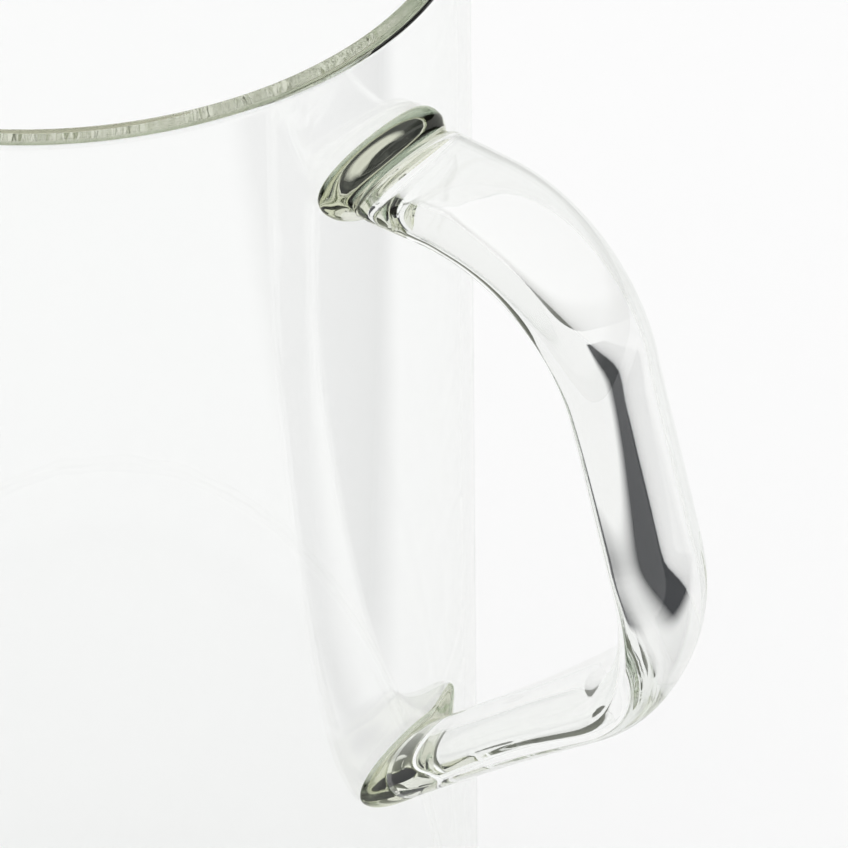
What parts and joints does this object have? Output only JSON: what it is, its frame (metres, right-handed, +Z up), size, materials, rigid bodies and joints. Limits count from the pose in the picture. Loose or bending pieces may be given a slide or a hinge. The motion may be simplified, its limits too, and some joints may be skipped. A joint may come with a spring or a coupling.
{
  "type": "water jug",
  "caption": "Tall open cylindrical jug of clear glass with a thick base, a polished rim, a pouring lip and a solid sealed-on strap handle.",
  "frame": {"origin": "centre of the base, on the plane that the jug stands on, which is also on the vessel's axis", "axes": "+Z up along the vessel's axis, +X from the axis to the handle, the pouring lip at -X"},
  "size_m": [0.1792, 0.1152, 0.255],
  "materials": {
    "vessel_glass": "clear, smooth",
    "rim_glass": "clear, fire-polished",
    "handle_glass": "clear, smooth, faintly grey-green where thick"
  },
  "bodies": {
    "root": {"vessel_base": "vessel_glass", "vessel_wall": "vessel_glass", "rim_bead": "rim_glass", "handle_strap": "handle_glass", "upper_handle_pad": "handle_glass", "lower_handle_pad": "handle_glass"}
  },
  "joints": []
}
